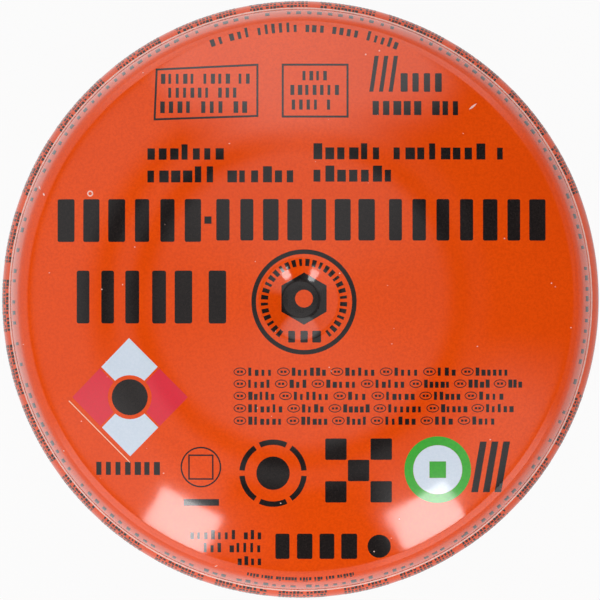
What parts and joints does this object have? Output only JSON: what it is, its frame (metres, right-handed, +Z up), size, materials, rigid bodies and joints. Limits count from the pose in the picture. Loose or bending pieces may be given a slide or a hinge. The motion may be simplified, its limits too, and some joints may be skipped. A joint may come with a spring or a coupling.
{
  "type": "pierceable gas cartridge",
  "caption": "Sealed round gas cartridge with a domed top, a dished middle for piercing, a rounded shoulder and a seamed foot.",
  "frame": {"origin": "middle of the foot, on the surface that the cartridge stands on", "axes": "+Z up along the axis of the cartridge, out of the domed top"},
  "size_m": [0.09, 0.09, 0.076],
  "materials": {
    "lacquered_tinplate": "gloss",
    "bare_tinplate": "satin",
    "printed_ink": "gloss"
  },
  "bodies": {
    "root": {"canister": "lacquered_tinplate"}
  },
  "joints": []
}
